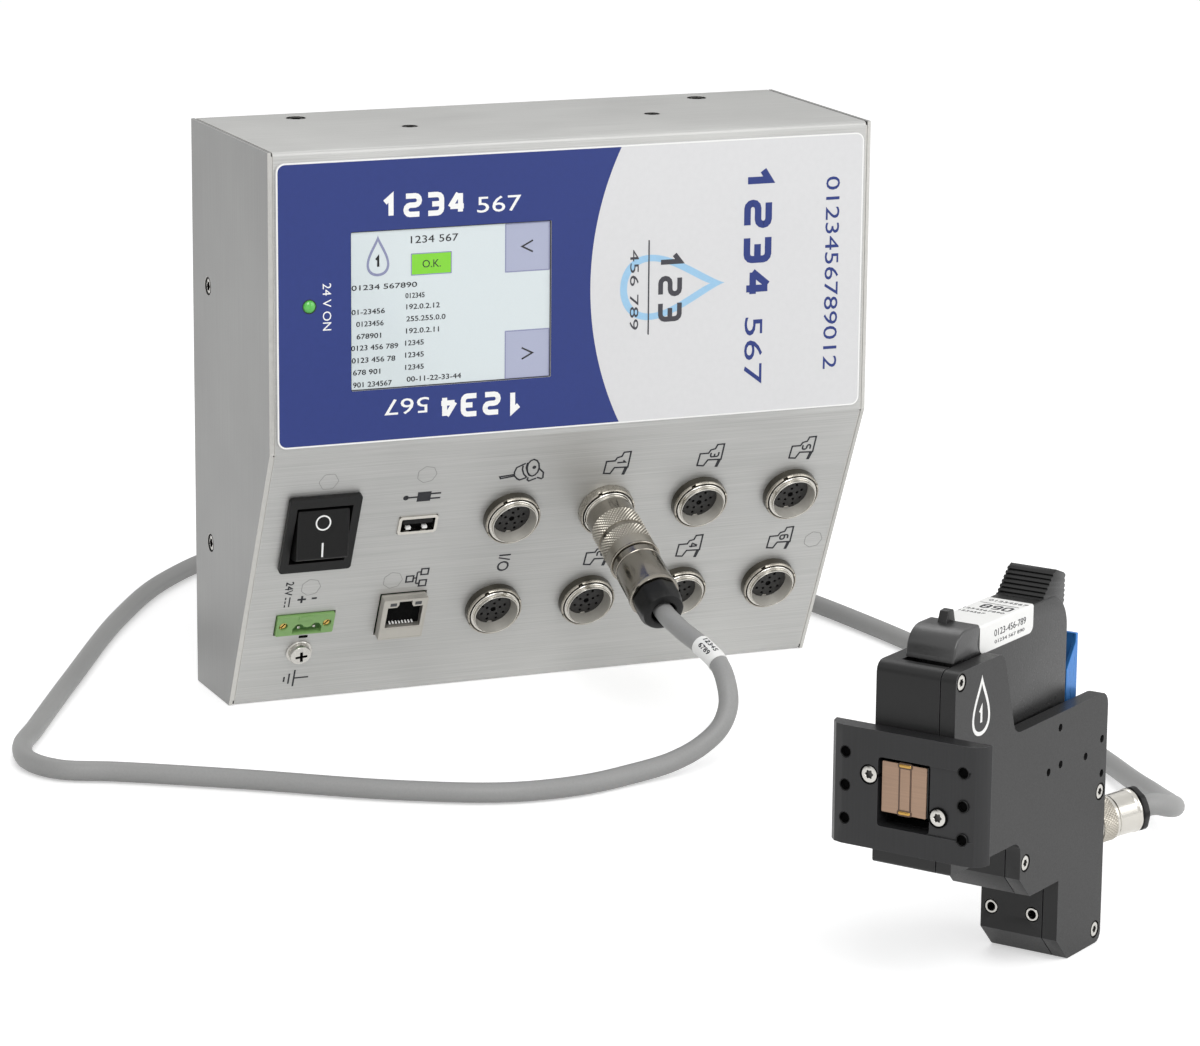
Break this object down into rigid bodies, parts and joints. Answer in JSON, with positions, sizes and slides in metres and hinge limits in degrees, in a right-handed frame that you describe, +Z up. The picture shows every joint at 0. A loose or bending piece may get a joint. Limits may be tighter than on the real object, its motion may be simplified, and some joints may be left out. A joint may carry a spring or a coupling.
{
  "type": "date code inkjet printer",
  "caption": "Bench controller in a bent steel case with a touch screen and a sloping connector panel, and a cartridge print head on its foot, joined by a cable.",
  "frame": {"origin": "centre of the controller's flat underside, on the surface that the controller and the print head stand on", "axes": "+Z up, +X along the controller's width to its right as seen from the front, -Y out of the controller's front"},
  "size_m": [0.3387, 0.5939, 0.1953],
  "materials": {
    "case_steel": "brushed stainless sheet",
    "inner_sheet": "zinc plated sheet",
    "screws": "bright zinc",
    "brass": "plain brass",
    "nickel": "nickel plate",
    "black_plastic": "black, satin",
    "label": "printed membrane",
    "screen": "touch screen glass",
    "green_lens": "clear green lens",
    "green_plastic": "green terminal plastic",
    "board": "circuit board",
    "cable": "grey cable jacket",
    "black_metal": "black anodised",
    "copper": "copper coloured nozzle foil",
    "blue_metal": "blue anodised"
  },
  "bodies": {
    "base": {"back_pan": "case_steel", "bracket_screw_left": "screws", "bracket_screw_right": "screws", "cable": "cable", "chassis": "inner_sheet", "connector_board": "board", "contact_block": "black_plastic", "control_board": "board", "display_bracket": "inner_sheet", "display_glass": "screen", "display_module": "inner_sheet", "earth_screw": "screws", "encoder_socket": "nickel", "foot_insert_left": "screws", "foot_insert_right": "screws", "front_cover": "case_steel", "front_label": "label", "front_plate": "black_metal", "front_plug_gland_nut": "black_plastic", "front_plug_shell": "nickel", "front_screw_left": "screws", "front_screw_right": "screws", "head_body": "black_metal", "head_plug_gland_nut": "black_plastic", "head_plug_shell": "nickel", "head_socket": "nickel", "io_socket": "nickel", "lan_socket": "nickel", "latch_pin": "screws", "latch_spring": "screws", "plate_screw_block": "screws", "plate_screw_foot": "screws", "plate_screw_nose": "screws", "plate_screw_rear": "screws", "power_board": "board", "power_terminal": "green_plastic", "side_plate": "black_metal", "side_screw_high_left": "screws", "side_screw_high_right": "screws", "side_screw_low_left": "screws", "side_screw_low_right": "screws", "socket_1": "nickel", "socket_2": "nickel", "socket_3": "nickel", "socket_4": "nickel", "socket_5": "nickel", "socket_6": "nickel", "status_led": "green_lens", "switch_bezel": "black_plastic", "terminal_screw_left": "brass", "terminal_screw_right": "brass", "top_screw_left": "screws", "top_screw_right": "screws", "usb_socket": "nickel"},
    "power_rocker": {"rocker": "black_plastic"},
    "front_ring": {"front_plug_coupling_ring": "nickel"},
    "head_ring": {"head_plug_coupling_ring": "nickel"},
    "ink_cartridge": {"cartridge": "black_plastic", "nozzle_plate": "copper"},
    "latch_lever": {"latch": "blue_metal"}
  },
  "joints": [
    {"name": "rocker_tilt", "type": "hinge", "parent": "base", "child": "power_rocker", "pos_m": [-0.0852, -0.04725, 0.06652], "axis": [1, 0, 0], "range_deg": [0, 34]},
    {"name": "front_ring_turn", "type": "hinge", "parent": "base", "child": "front_ring", "pos_m": [0.0172, -0.04847, 0.06561], "axis": [0, -0.9027, -0.4303], "continuous": true},
    {"name": "head_ring_turn", "type": "hinge", "parent": "base", "child": "head_ring", "pos_m": [0.04732, -0.33189, 0.03155], "axis": [0.9871, 0.1037, 0.1219], "continuous": true},
    {"name": "cartridge_tilt", "type": "hinge", "parent": "base", "child": "ink_cartridge", "pos_m": [-0.03174, -0.38268, 0.06625], "axis": [0.5592, -0.829, 0], "range_deg": [0, 12]},
    {"name": "latch_swing", "type": "hinge", "parent": "base", "child": "latch_lever", "pos_m": [0.03226, -0.33951, 0.0695], "axis": [-0.5592, 0.829, 0], "range_deg": [0, 20], "stiffness_Nm_per_rad": 0.05, "springref_deg": -8.59}
  ]
}
